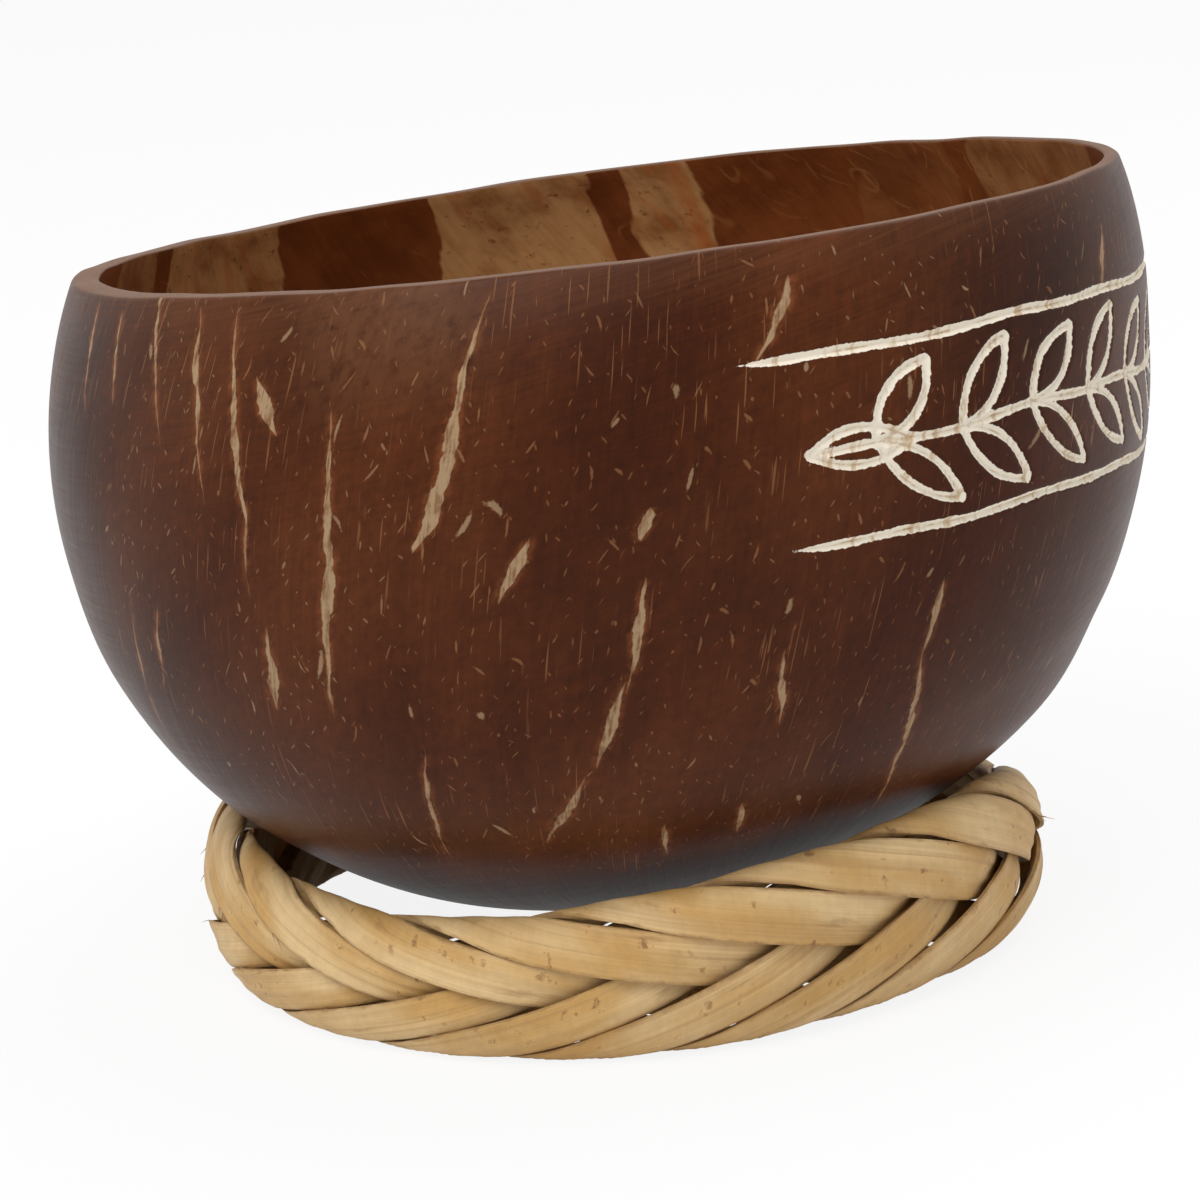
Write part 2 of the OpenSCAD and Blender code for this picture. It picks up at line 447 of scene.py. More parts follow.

# %% [markdown]
# ## Streaks
#
# Bundles of pale fibre show as long streaks. The ones that the photograph shows are listed one by one, each as a
# short line with a width, and the far side gets others like them. A mesh this coarse could not hold their
# edges, so each vertex keeps two smooth values instead: how far off the middle of its nearest streak it lies,
# and how wide the streak is there. Streaks that lie close together are kept in different channels.

# %% Streaks along the shell
# Points of each streak (turn and height from the bottom pole, from top to foot), width, and where it is fullest.
STREAKS = [
    (((-4.5, 113.5), (-9, 107), (-12.8, 99), (-16, 94.2), (-18.8, 92)), 1.75, 0.92),
    (((-22.6, 107.5), (-27, 93), (-33.4, 77)), 1.5, 0.55),
    (((-33.8, 119), (-35, 98), (-37.4, 90)), 0.95, 0.45),
    (((-39.2, 119), (-39.8, 99)), 0.95, 0.3),
    (((-61.6, 121), (-61, 108.5)), 0.8, 0.3),
    (((-54.9, 120), (-54.1, 109.5)), 0.8, 0.3),
    (((-46.9, 122), (-45.3, 105)), 0.8, 0.2),
    (((23.4, 106), (19, 101), (15.2, 98.3)), 1.1, 0.3),
    (((1.6, 84.5), (-3.8, 73)), 1.15, 0.35),
    (((-3.2, 75), (-9.6, 65.5)), 1.35, 0.4),
    (((-10.5, 65.5), (-19.6, 56.3)), 1.05, 0.6),
    (((30.4, 73.5), (27, 65.5)), 1.15, 0.4),
    (((27.2, 67), (25.8, 55), (23.3, 41.5)), 1.0, 0.3),
    (((-7, 91), (-12.3, 85.5)), 1.5, 0.5),
    (((12.2, 73), (10, 64)), 1.0, 0.45),
    (((-36, 88), (-39.5, 79)), 1.5, 0.7),
    (((-25, 73.5), (-33.8, 55)), 0.7, 0.4),
    (((-5.5, 55.5), (-7.6, 48.5)), 0.85, 0.5),
    (((4.2, 55), (2.4, 49)), 0.85, 0.5),
    (((-31.2, 111), (-29.6, 105)), 2.0, 0.6),
    (((3.8, 90.4), (2, 87.6)), 1.9, 0.5),
    (((64, 97.5), (60, 91.5)), 1.2, 0.5),
    (((-55, 93), (-66.5, 71)), 0.45, 0.4),
    (((-50.5, 92), (-56.8, 81)), 0.55, 0.5),
]
BACK_STREAKS, BACK_FROM, BACK_STEP, BACK_STRAY = 15, 96.0, 12.5, 4
BACK_FOOT, BACK_TALL, BACK_TOP = (45, 95), (6, 26), 116
BACK_LEAN, BACK_WIDTH, BACK_FULLEST = (0, 8), (0.6, 1.5), (0.3, 0.7)

random.seed(7)
for i in range(BACK_STREAKS):
    at = BACK_FROM + i * BACK_STEP + random.uniform(-BACK_STRAY, BACK_STRAY)
    foot = random.uniform(*BACK_FOOT)
    top = min(foot + random.uniform(*BACK_TALL), BACK_TOP)
    points = (at + random.uniform(*BACK_LEAN), top), (at, foot)
    STREAKS.append((points, random.uniform(*BACK_WIDTH), random.uniform(*BACK_FULLEST)))
print(len(STREAKS), "streaks,", BACK_STREAKS, "of them on the far side")

# %% What each vertex keeps of the streaks
CHANNELS = 3
NO_STREAK, STREAK_REACH = -3.0, 3.0
STREAK_TAPER = 0.8


def along_streak(turn, up, points, width, fullest):
    """Millimetres off the middle of a streak, and its half width at this height."""
    turns, heights = np.array(points).T
    middle = np.interp(up, heights[::-1], turns[::-1])
    gap = (turn - middle + 180) % 360 - 180
    slope = (turns[0] - turns[-1]) / (heights[0] - heights[-1])
    off = np.radians(gap) * BAND_R * np.sin(np.radians(up)) / math.hypot(1, slope)
    fallen = (heights[0] - up) / (heights[0] - heights[-1])
    taper = np.where(fallen < fullest, fallen / fullest, (1 - fallen) / (1 - fullest))
    half = np.where(taper > 0, width / 2 * np.maximum(taper, 0) ** STREAK_TAPER, taper)
    return off, np.where(np.abs(off) < STREAK_REACH, np.maximum(half, NO_STREAK), NO_STREAK)


def streak_channels(turn, up):
    """The offsets and half widths in each channel."""
    kept = [(np.full_like(turn, STREAK_REACH), np.full_like(turn, NO_STREAK)) for _ in range(CHANNELS)]
    order = sorted(STREAKS, key=lambda streak: streak[0][0][0])
    for i, (points, width, fullest) in enumerate(order):
        off, half = along_streak(turn, up, points, width, fullest)
        old_off, old_half = kept[i % CHANNELS]
        mine = half > old_half
        kept[i % CHANNELS] = np.where(mine, off, old_off), np.where(mine, half, old_half)
    return kept


print("streaks kept in", CHANNELS, "channels")

# %% [markdown]
# ## Modelling the shell
#
# Each wall starts as a ball. Its upper half is deleted, the stretch under the carving is subdivided, and
# every vertex is then moved out to the outline, row by row up to the rim. The two walls are joined, the
# rim is bridged between them, and its two edges are broken with a small bevel, as sandpaper leaves them.

# %% Half a ball, and its values
SEGMENTS = 240


def coordinates(mesh):
    """A mesh's vertices as rows of x, y and z."""
    flat = np.empty(len(mesh.vertices) * 3)
    mesh.vertices.foreach_get("co", flat)
    return flat.reshape(-1, 3)


def directions(points):
    """Turn in degrees, and the share of the way from the bottom pole to the rim, on the unit half ball."""
    low = np.arctan2(np.hypot(points[:, 0], points[:, 1]), -points[:, 2])
    return np.degrees(np.arctan2(points[:, 0], -points[:, 1])), np.minimum(low / (math.pi / 2), 1)


def keep_values(mesh, name, values):
    """Keeps one value for each vertex on the mesh, for the finish to read."""
    mesh.attributes.new(name, "FLOAT", "POINT").data.foreach_set("value", values)


def half_ball(name, rows):
    """The lower half of a ball, open at the top."""
    bpy.ops.object.select_all(action="DESELECT")
    bpy.ops.mesh.primitive_uv_sphere_add(segments=SEGMENTS, ring_count=2 * rows, radius=1)
    ball = bpy.context.object
    ball.name = name
    bpy.ops.object.mode_set(mode="EDIT")
    bpy.ops.mesh.select_mode(type="FACE")
    bpy.ops.mesh.select_all(action="DESELECT")
    bpy.ops.object.mode_set(mode="OBJECT")
    for face in ball.data.polygons:
        face.select = face.center.z > 0
    bpy.ops.object.mode_set(mode="EDIT")
    bpy.ops.mesh.delete(type="FACE")
    bpy.ops.object.mode_set(mode="OBJECT")
    return ball


print("walls with", SEGMENTS, "columns")

# %% Two bowls from two balls
OUTER_ROWS, INNER_ROWS = 116, 60
BAND_CUTS, BAND_MARGIN = 3, 2.5
DENTS, DENT_SIZE, DENT_FADE = 0.12, 17.0, 8


def to_world(points):
    """From the shell's own axes, in millimetres, to the frame."""
    return (points @ CUP_TURN.T + (0, 0, CUP_Z)) * MM


def refine_band(ball):
    """Subdivides the faces under the carving."""
    centres = np.array([face.center for face in ball.data.polygons])
    turn, share = directions(centres)
    top = rim_angle(turn, OUTER, 0)
    below = np.radians(top * (1 - share)) * BAND_R
    x = np.radians(turn - BAND_FROM) * BAND_R
    inside = ((np.abs(below - BAND_MIDDLE) < BAND_HALF + BAND_MARGIN)
              & (x > -BAND_MARGIN) & (x < BAND_LENGTH + BAND_MARGIN))
    bpy.ops.object.mode_set(mode="EDIT")
    bpy.ops.mesh.select_all(action="DESELECT")
    bpy.ops.object.mode_set(mode="OBJECT")
    ball.data.polygons.foreach_set("select", inside)
    bpy.ops.object.mode_set(mode="EDIT")
    bpy.ops.mesh.subdivide(number_cuts=BAND_CUTS)
    bpy.ops.object.mode_set(mode="OBJECT")
    return int(inside.sum())


def shape_wall(ball, outline, shift, carved):
    """Moves a ball's vertices out to an outline, with small dents and, where carved, the cuts."""
    turn, share = directions(coordinates(ball.data))
    top = rim_angle(turn, outline, shift)
    up = share * top
    points = on_outline(turn, up, outline, shift)
    outward = points / np.linalg.norm(points, axis=1)[:, None]
    dents = np.array([noise.noise(Vector(p) / DENT_SIZE) for p in points]) * DENTS
    cut = np.full(len(points), -FAR_OFF)
    if carved:
        cut = carving(turn, np.radians(top - up) * BAND_R)
    depth = CUT_DEPTH * np.clip(cut / (CUT_WIDTH / 2), 0, 1)
    points += outward * (dents * np.clip((1 - share) * DENT_FADE, 0, 1) - depth)[:, None]
    ball.data.vertices.foreach_set("co", to_world(points).ravel())
    keep_values(ball.data, "carve", cut)
    for channel, (off, half) in enumerate(streak_channels(turn, up)):
        keep_values(ball.data, f"streak_off_{channel}", off)
        keep_values(ball.data, f"streak_half_{channel}", half)
    ball.data.update()


outer_wall = half_ball("carved_shell", OUTER_ROWS)
refined = refine_band(outer_wall)
shape_wall(outer_wall, OUTER, 0.0, True)
inner_wall = half_ball("inner_wall", INNER_ROWS)
shape_wall(inner_wall, INNER, HOLLOW_SHIFT, False)
print("outer wall:", len(outer_wall.data.polygons), "faces,", refined, "of the first ones refined for the band")

# %% Join the walls and bridge the rim
OUTSIDE, INSIDE, RIM = 0, 1, 2
ON_RIM = 0.02 * MM
LOWERED = 5 * MM

outer_count = len(outer_wall.data.vertices)
bpy.ops.object.select_all(action="DESELECT")
inner_wall.select_set(True)
outer_wall.select_set(True)
bpy.context.view_layer.objects.active = outer_wall
bpy.ops.object.join()
shell = bpy.context.object
for face in shell.data.polygons:
    face.material_index = INSIDE if min(face.vertices) >= outer_count else OUTSIDE

# Two level rings give the bridge no direction, so the inner one is lowered until it is bridged.
rim_axis = CUP_TURN @ RIM_NORMAL
rim_point = to_world(np.array([[0.0, 0.0, RIM_UP]]))[0]
in_place = coordinates(shell.data)
on_rim = np.abs((in_place - rim_point) @ rim_axis) < ON_RIM
inner_rim = on_rim & (np.arange(len(in_place)) >= outer_count)
shell.data.vertices.foreach_set("co", (in_place - inner_rim[:, None] * rim_axis * LOWERED).ravel())
bpy.ops.object.mode_set(mode="EDIT")
bpy.ops.mesh.select_mode(type="EDGE")
bpy.ops.mesh.select_all(action="DESELECT")
bpy.ops.mesh.select_non_manifold(extend=False, use_wire=False, use_boundary=True, use_multi_face=False,
                                 use_non_contiguous=False, use_verts=False)
bpy.ops.mesh.bridge_edge_loops()
bpy.ops.object.mode_set(mode="OBJECT")
shell.data.vertices.foreach_set("co", in_place.ravel())
bpy.ops.object.mode_set(mode="EDIT")
bpy.ops.mesh.select_all(action="SELECT")
bpy.ops.mesh.normals_make_consistent(inside=False)
bpy.ops.mesh.select_all(action="DESELECT")
bpy.ops.object.mode_set(mode="OBJECT")
print("rim bridged between", int(on_rim.sum()), "vertices")

# %% Break the edges of the rim
RIM_BREAK, BREAK_STEPS = 0.35 * MM, 3
SHELL_CREASE = 40
RIM_CLOSE, OUTER_LEAN, INNER_LEAN = 0.5 * MM, 25, 67

rim_faces = 0
corner_uses = {}
for face in shell.data.polygons:
    if all(on_rim[v] for v in face.vertices):
        face.material_index = RIM
        rim_faces += 1
        for key in face.edge_keys:
            corner_uses[key] = corner_uses.get(key, 0) + 1
for edge in shell.data.edges:
    edge.select = corner_uses.get(edge.key, 0) == 1
bpy.ops.object.mode_set(mode="EDIT")
bpy.ops.mesh.bevel(offset=RIM_BREAK, segments=BREAK_STEPS, affect="EDGES")
bpy.ops.mesh.select_all(action="DESELECT")
bpy.ops.object.mode_set(mode="OBJECT")
bpy.ops.object.shade_smooth_by_angle(angle=math.radians(SHELL_CREASE))

# The bevel leaves the finish of a few faces to chance, so each of them takes the one that it leans to.
close = (rim_point - coordinates(shell.data)) @ rim_axis < RIM_CLOSE
for face in shell.data.polygons:
    if all(close[v] for v in face.vertices):
        lean = math.degrees(math.acos(min(face.normal @ Vector(rim_axis), 1)))
        faces_out = face.normal @ (face.center - Vector(rim_point)) > 0
        wall, least_lean = (OUTSIDE, OUTER_LEAN) if faces_out else (INSIDE, INNER_LEAN)
        face.material_index = wall if lean > least_lean else RIM
print("rim of", rim_faces, "faces, with both edges broken")

# %% Let the rim wander, and stand for the CAD shell
# A saw never runs quite true: the rim ripples, and a stretch at the back left lies lower.
RIM_RIPPLE, RIM_RIPPLE_SIZE, RIM_RIPPLE_DOWN = 0.2, 9.0, 4.0
RIM_LOW, RIM_LOW_TURN, RIM_LOW_POWER = 0.55, -140.0, 6

places = coordinates(shell.data)
under_rim = (rim_point - places) @ rim_axis / MM
ripple = np.array([noise.noise(Vector(place) / (RIM_RIPPLE_SIZE * MM)) for place in places])
around = np.degrees(np.arctan2(places[:, 0], -places[:, 1])) - RIM_LOW_TURN
lower = RIM_LOW * np.maximum(np.cos(np.radians(around)), 0) ** RIM_LOW_POWER
lift = (ripple * RIM_RIPPLE - lower) * smooth(1 - under_rim / RIM_RIPPLE_DOWN)
places += (lift * MM)[:, None] * rim_axis
shell.data.vertices.foreach_set("co", places.ravel())
shell.data.update()
widest = max(face.area for face in shell.data.polygons)
print("largest face of the shell:", round(widest / MM**2, 2), "square mm")

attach(shell, "cup")
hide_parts("coconut_shell")

# %% [markdown]
# ## Where a point lies on the shell
#
# The fibres of a coconut run from pole to pole, and this cup was cut askew to them. This group turns a place
# on the mesh into the shell's own directions: the turn from the front, the height from the bottom pole, a flat
# map in millimetres that leans with the fibres, for small flecks, and a seamless one for the grain.

# %% Node group: place on the shell
MAP_R = 57.0
GRAIN_LEAN = 0.42
LEAST_GIRTH = 0.01

shell_place, given, ends = new_group("shell_place", {"Place": "Vector"},
                                     {"Turn": "Float", "Back": "Float", "Up": "Float", "Girth": "Float",
                                      "Flat": "Vector", "Round": "Vector"})
tree = shell_place
own = add_node(tree, "Mapping", {"vector_type": "TEXTURE"}, Vector=given["Place"], Location=(0, 0, CUP_Z * MM),
               Rotation=(0, math.radians(-CUP_LEAN), 0), Scale=(MM, MM, MM))
parts = add_node(tree, "SeparateXYZ", Vector=out(own))
x, y, z = (out(parts, axis) for axis in "XYZ")
from_axis = (x * x + y * y).op("SQRT").op("MAXIMUM", LEAST_GIRTH)
turn = x.op("ARCTAN2", y * -1)
up = from_axis.op("ARCTAN2", z * -1)
feed(tree, ends.inputs["Turn"], turn.op("DEGREES"))
feed(tree, ends.inputs["Back"], x.op("ARCTAN2", y).op("DEGREES"))
feed(tree, ends.inputs["Up"], up.op("DEGREES"))
feed(tree, ends.inputs["Girth"], from_axis)
fibre_turn = turn - (up - math.pi / 2) * GRAIN_LEAN
feed(tree, ends.inputs["Flat"], vector_of(tree, fibre_turn * MAP_R, up * MAP_R, 0.0))
feed(tree, ends.inputs["Round"], vector_of(tree, fibre_turn.op("SINE") * MAP_R, fibre_turn.op("COSINE") * MAP_R,
                                           up * MAP_R))
count_nodes("place on the shell", tree)

# %% [markdown]
# ## Flecks
#
# Sanding opens the pale fibres of the shell as hundreds of tiny flecks. A fleck is a small turned ellipse in
# a cell of its own, and each cell rolls its own dice for the fleck's length, width and direction.

# %% Node group: flecks
FLECK_SPREAD, FLECK_BEND = 1.9, 0.4
LONG_LEAST, LONG_VARIES, THIN_LEAST, THIN_VARIES = 0.3, 1.3, 0.5, 1.0
FLECK_RAG, RAG_LEAST, RAG_VARIES = 3.0, 0.35, 1.3
FLECK_EDGE, FLECK_FULL = 1.2, 0.6
DICE = 13.7

flecks, given, ends = new_group("flecks", {"Flat": "Vector", "Cell": "Float", "Share": "Float", "Long": "Float",
                                           "Thin": "Float"}, {"Mask": "Float"})
tree = flecks
cells = add_node(tree, "TexVoronoi", {"voronoi_dimensions": "2D"}, Vector=given["Flat"],
                 Scale=given["Cell"].op("POWER", -1.0))
chance = add_node(tree, "SeparateXYZ", Vector=out(cells, "Color"))
red, green, blue = (out(chance, axis) for axis in "XYZ")
offset = add_node(tree, "VectorMath", {"operation": "SUBTRACT"})
feed(tree, offset.inputs[0], given["Flat"])
feed(tree, offset.inputs[1], out(cells, "Position"))
away = add_node(tree, "SeparateXYZ", Vector=out(offset))
lie = (red - 0.5) * FLECK_SPREAD
along = out(away, "Y") * lie.op("COSINE") + out(away, "X") * lie.op("SINE")
across = out(away, "X") * lie.op("COSINE") - out(away, "Y") * lie.op("SINE")
across = across + along * along * (blue - 0.5) * FLECK_BEND
long_half = given["Long"] * (green * LONG_VARIES + LONG_LEAST)
thin_half = given["Thin"] * (blue * THIN_VARIES + THIN_LEAST)
size = ((along / long_half).op("POWER", 2.0) + (across / thin_half).op("POWER", 2.0)).op("SQRT")
size = size * (noise_at(tree, given["Flat"], FLECK_RAG) * RAG_VARIES + RAG_LEAST)
there = (green * DICE).op("FRACT").op("LESS_THAN", given["Share"])
feed(tree, ends.inputs["Mask"], size.ramp(FLECK_EDGE, FLECK_FULL) * there)
count_nodes("flecks", tree)

# %% [markdown]
# ## The satin skin
#
# The outside is a deep red-brown with soft darker clouds, a fine grain up the meridians and faint sanding
# marks round the shell. Shade is painted on at the upper right and on the left flank, it is worn paler near the
# rim, and near the rim at the top left of the front a paler patch is partly wear and partly a painted highlight. On
# top lie the hairlines, the flecks, the streaks and the cut grooves, which show raw, pale husk with painted shade
# at the bottom of each cut. Apart from that painted highlight, gloss comes from the shader and the lights.

# %% Outside of the shell: ground colour
SKIN_DARK, SKIN_WARM = (0.043, 0.0083, 0.001, 1), (0.09, 0.0225, 0.005, 1)
# Paler, worn skin; the same colour also paints a soft sheen at the top left of the front.
SKIN_WORN_AND_SHEEN = (0.112, 0.042, 0.016, 1)
GRAIN_TONE, FINE_TONE, MOTTLE_TONE, MEAN_TONE = 0.4, 0.2, 0.9, 0.97
# Painted shade: how much the colour is darkened at the upper right and on the left flank, standing for less light
# there.
PAINTED_SHADE_RIGHT, PAINTED_SHADE_LEFT = 0.42, 0.22
# The rim seen as a wave round the shell: its mean height, how far it swings and where it is highest.
RIM_MEAN, RIM_SWING, RIM_HIGH_TURN = 110.0, 10.4, 275

outside, tree, shader = new_material("sanded_shell")
place = use_group(tree, shell_place, Place=out(add_node(tree, "TexCoord"), "Object"))
turn, up, flat, round_map = (out(place, name) for name in ("Turn", "Up", "Flat", "Round"))
full_turn = (turn + 360).op("MODULO", 360.0)
rim_wave = (full_turn - RIM_HIGH_TURN).op("RADIANS").op("COSINE") * RIM_SWING
over_rim = up.op("RADIANS") * MAP_R - rim_wave - RIM_MEAN

clouds = noise_at(tree, round_map, scale=0.045, detail=3.0, stretch=(1, 1, 0.6))
grain = noise_at(tree, round_map, scale=1.9, detail=3.0, stretch=(1, 1, 0.05))
fine_grain = noise_at(tree, round_map, scale=5.5, stretch=(1, 1, 0.09))
sanding = noise_at(tree, round_map, scale=3.4, stretch=(0.03, 0.03, 1))
mottle = noise_at(tree, round_map, scale=0.8, detail=4.0, roughness=0.65)
# Painted shade: masks for the upper right and the left flank, where the colour is darkened as if less light fell
# there.
painted_shade_right = turn.ramp(22.0, 44.0) * turn.ramp(130.0, 95.0) * up.ramp(82.0, 96.0)
painted_shade_left = turn.ramp(-28.0, -50.0) * turn.ramp(-130.0, -100.0) * up.ramp(50.0, 74.0)
tone = (grain - 0.5) * GRAIN_TONE + (fine_grain - 0.5) * FINE_TONE + (mottle - 0.5) * MOTTLE_TONE + MEAN_TONE
tone = tone + (sanding - 0.5) * over_rim.ramp(-30.0, 0.0, start=0.15, end=0.7)
tone = tone * (painted_shade_right * -PAINTED_SHADE_RIGHT + painted_shade_left * -PAINTED_SHADE_LEFT + 1.0)
skin = toned(tree, colour_mix(tree, clouds.ramp(0.3, 0.72), SKIN_DARK, SKIN_WARM), tone)

worn = over_rim.ramp(-4.0, 1.0) * (sanding * 0.7 - 0.08)
skin = colour_mix(tree, worn, skin, SKIN_WORN_AND_SHEEN)
scraped = turn.ramp(-66.0, -56.0) * turn.ramp(-8.0, -30.0) * up.ramp(99.0, 112.0)
skin = colour_mix(tree, scraped * clouds * 0.25, skin, SKIN_WORN_AND_SHEEN)
# Partly wear, partly a painted highlight: a paler patch near the rim at the top left of the front, where a soft
# sheen lies.
painted_sheen_and_wear = turn.ramp(-30.0, -20.0) * turn.ramp(-2.0, -12.0) * up.ramp(101.0, 112.0)
skin = colour_mix(tree, painted_sheen_and_wear * mottle.ramp(0.2, 0.6) * 0.75, skin, SKIN_WORN_AND_SHEEN)
count_nodes("ground colour", tree)

# %% Outside of the shell: hairlines and flecks
PALE_FIBRE, HAIRLINE, FLECK_TAN = shade(160, 134, 102), shade(140, 94, 60), shade(152, 104, 68)
HAIR_SHOWS, SMALL_SHOWS, MIDDLING_SHOWS, LARGE_SHOWS = 0.5, 0.5, 0.65, 0.9

hair = noise_at(tree, flat, scale=2.9, detail=1.0, stretch=(1.0, 0.045, 1)).ramp(0.67, 0.71)
hair_places = noise_at(tree, flat, scale=0.06).ramp(0.42, 0.62)
hair = hair * hair_places.op("MAXIMUM", scraped) * HAIR_SHOWS
skin = colour_mix(tree, hair, skin, HAIRLINE)

small = use_group(tree, flecks, Flat=flat, Cell=1.7, Share=0.55, Long=0.28, Thin=0.075)
middling = use_group(tree, flecks, Flat=flat, Cell=4.0, Share=0.5, Long=0.6, Thin=0.11)
large = use_group(tree, flecks, Flat=flat, Cell=12.0, Share=0.45, Long=0.95, Thin=0.22)
fleck_mask = strongest([out(small) * SMALL_SHOWS, out(middling) * MIDDLING_SHOWS, out(large) * LARGE_SHOWS])
fleck_colour = colour_mix(tree, out(large).op("MAXIMUM", clouds.ramp(0.5, 0.65)), FLECK_TAN, PALE_FIBRE)
skin = colour_mix(tree, fleck_mask * (clouds * 0.6 + 0.35), skin, fleck_colour)
count_nodes("with hairlines and flecks it", tree)

# %% Outside of the shell: streaks
STREAK_DARK, ORANGE_FIBRE = shade(118, 82, 54), shade(128, 72, 40)
STREAK_SWAY, STREAK_EDGE, HALO_WIDE = 1.1, 0.14, 0.7
STREAK_SHOWS, TIP_SHOWS, HALO_SHOWS = 0.9, 0.8, 0.5

sway = (noise_at(tree, round_map, scale=0.22, stretch=(0.5, 0.5, 1)) - 0.5) * STREAK_SWAY
rag = noise_at(tree, round_map, scale=0.9, detail=3.0, stretch=(0.5, 0.5, 0.6)).ramp(0.25, 0.75, start=0.5, end=1.3)
masks, tips, halos = [], [], []
for channel in range(CHANNELS):
    off = out(add_node(tree, "Attribute", {"attribute_name": f"streak_off_{channel}"}), "Fac")
    half = out(add_node(tree, "Attribute", {"attribute_name": f"streak_half_{channel}"}), "Fac")
    inset = half * rag - (off + sway).op("ABSOLUTE")
    masks.append(inset.ramp(0.0, STREAK_EDGE))
    tips.append(masks[-1] * half.ramp(0.3, 0.1))
    halos.append(inset.ramp(-HALO_WIDE, 0.1) * half.ramp(0.0, 0.2))
streak_mask, tip_mask, halo = strongest(masks), strongest(tips), strongest(halos)
fibre_tone = noise_at(tree, round_map, scale=2.6, detail=3.0, stretch=(1, 1, 0.14)) * 0.6 + mottle * 0.4
fibre = colour_mix(tree, fibre_tone.ramp(0.36, 0.56), STREAK_DARK, PALE_FIBRE)
fibre = colour_mix(tree, tip_mask * TIP_SHOWS, fibre, ORANGE_FIBRE)
skin = colour_mix(tree, halo * mottle.ramp(0.35, 0.65) * HALO_SHOWS, skin, ORANGE_FIBRE)
skin = colour_mix(tree, streak_mask * STREAK_SHOWS, skin, fibre)
count_nodes("with its streaks it", tree)

# %% Outside of the shell: cut grooves, gloss and relief
# Raw husk, and a darker tan that marks chips and also paints shade at the bottom of the cuts.
RAW_HUSK, RAW_TAN_AND_PAINTED_SHADE = shade(232, 222, 204), shade(190, 160, 122)
GROOVE_RAG, GROOVE_EDGE = 0.42, 0.07
SATIN, GROOVE_ROUGH, SKIN_GLINT = 0.36, 0.4, 0.1
SKIN_RELIEF, SKIN_RELIEF_DEEP = 0.35, 0.12 * MM

cut = out(add_node(tree, "Attribute", {"attribute_name": "carve"}), "Fac")
ragged = noise_at(tree, round_map, scale=1.5, detail=3.0, roughness=0.65) - 0.5
groove = (cut + ragged * GROOVE_RAG).ramp(0.0, GROOVE_EDGE)
chips = noise_at(tree, round_map, scale=1.1, detail=3.0, stretch=(1, 1, 0.3))
raw = colour_mix(tree, chips.ramp(0.54, 0.7) * 0.8, RAW_HUSK, RAW_TAN_AND_PAINTED_SHADE)
# Painted shade: the deepest part of each cut is darkened to that tan.
raw = colour_mix(tree, cut.ramp(0.36, 0.5) * chips.ramp(0.35, 0.5) * 0.7, raw, RAW_TAN_AND_PAINTED_SHADE)
feed(tree, shader.inputs["Base Color"], colour_mix(tree, groove, skin, raw))

rough = (grain - 0.5) * 0.16 + (sanding - 0.5) * 0.12 + worn * 0.12 + fleck_mask * 0.1 + streak_mask * 0.12 + SATIN
feed(tree, shader.inputs["Roughness"], rough + groove * GROOVE_ROUGH)
shader.inputs["Specular IOR Level"].default_value = SKIN_GLINT
height = grain * 0.35 + fine_grain * 0.2 + sanding * 0.25 - streak_mask * 0.35 - fleck_mask * 0.2 + ragged * groove
relief = add_node(tree, "Bump", Strength=SKIN_RELIEF, Distance=SKIN_RELIEF_DEEP, Height=height)
feed(tree, shader.inputs["Normal"], out(relief))
shell.data.materials.append(outside)
count_nodes("the whole outside", tree)

# %% [markdown]
# ## The inside and the sawn rim
#
# Inside, patches of tan inner skin are left on the dark wall, in broad upright strips with wavy edges that end
# unevenly toward the bottom, and a few scratches cross them. The rim is a sawn face, dusty and fine-lined along
# the cut.

# %% Inside of the shell: where the inner skin is left
# Edges of the tan patches, in degrees from the middle of the back wall to the right, and how much skin is left.
PATCHES = [(-150, -128, 0.9), (-112, -98, 0.8), (-76, -64, 0.5), (-60, -38, 0.9), (-16, 5, 1.0), (9, 17.5, 1.0),
           (38, 52, 0.1), (56, 82, 0.4), (104, 124, 0.9), (146, 170, 0.8)]
PATCH_EDGE, PATCH_WAVE = 0.25, 4
DEEP_UP, DEEP_SWAY = 108.0, 0.45
FOOT_VARIES, FOOT_FROM, FOOT_TO = 70.0, 58.0, 60.0
REMAINS_SHOW = 0.55

inside, tree, shader = new_material("hollow_skin")
place = use_group(tree, shell_place, Place=out(add_node(tree, "TexCoord"), "Object"))
back, up, flat, round_map = (out(place, name) for name in ("Back", "Up", "Flat", "Round"))
wobble = (noise_at(tree, round_map, scale=0.22, detail=3.0, stretch=(1, 1, 0.5)) - 0.5) * PATCH_WAVE
deep = (up * -1 + DEEP_UP).op("MAXIMUM", 0.0) * DEEP_SWAY
bearing = back + wobble + (noise_at(tree, round_map, scale=0.055) - 0.5) * deep
patch = None
for left, right, left_over in PATCHES:
    here = bearing.ramp(left - PATCH_EDGE, left + PATCH_EDGE) * bearing.ramp(right + PATCH_EDGE, right - PATCH_EDGE)
    patch = here * left_over if patch is None else patch + here * left_over
in_mm = stretched(tree, out(add_node(tree, "TexCoord"), "Object"), (1 / MM, 1 / MM, 1 / MM))
foot = (noise_at(tree, in_mm, scale=0.06, detail=3.0) - 0.5) * FOOT_VARIES + up
above = foot.ramp(FOOT_FROM, FOOT_TO)
scraps = noise_at(tree, in_mm, scale=0.11, detail=4.0, roughness=0.65).ramp(0.55, 0.6)
remains = scraps * foot.ramp(FOOT_TO, FOOT_FROM)
patch = (patch * above).op("MAXIMUM", remains * REMAINS_SHOW)
print(len(PATCHES), "patches of inner skin")

